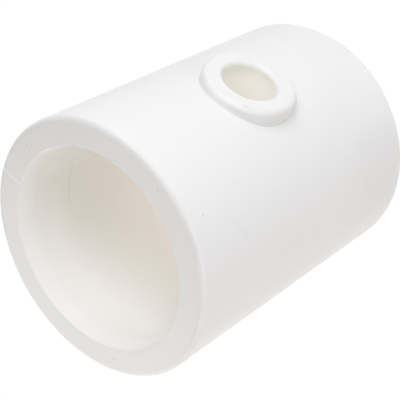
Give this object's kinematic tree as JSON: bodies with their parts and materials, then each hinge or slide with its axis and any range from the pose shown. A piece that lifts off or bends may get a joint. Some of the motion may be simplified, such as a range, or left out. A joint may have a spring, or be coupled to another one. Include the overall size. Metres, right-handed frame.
{
  "type": "reducing tee pipe fitting",
  "caption": "Short straight pipe tee with a plain bore for a 75 mm pipe right through it and a low round boss at mid length with a bore for a 20 mm pipe.",
  "frame": {"origin": "where the axis of the run crosses the axis of the branch, at the middle of the run's length", "axes": "+Z along the run, up as the tee stands on one end; -Y along the branch, out of the boss"},
  "size_m": [0.098, 0.1017, 0.126],
  "materials": {
    "white_plastic": "satin moulded rigid plastic, off-white"
  },
  "bodies": {
    "root": {"tee_body": "white_plastic"}
  },
  "joints": []
}
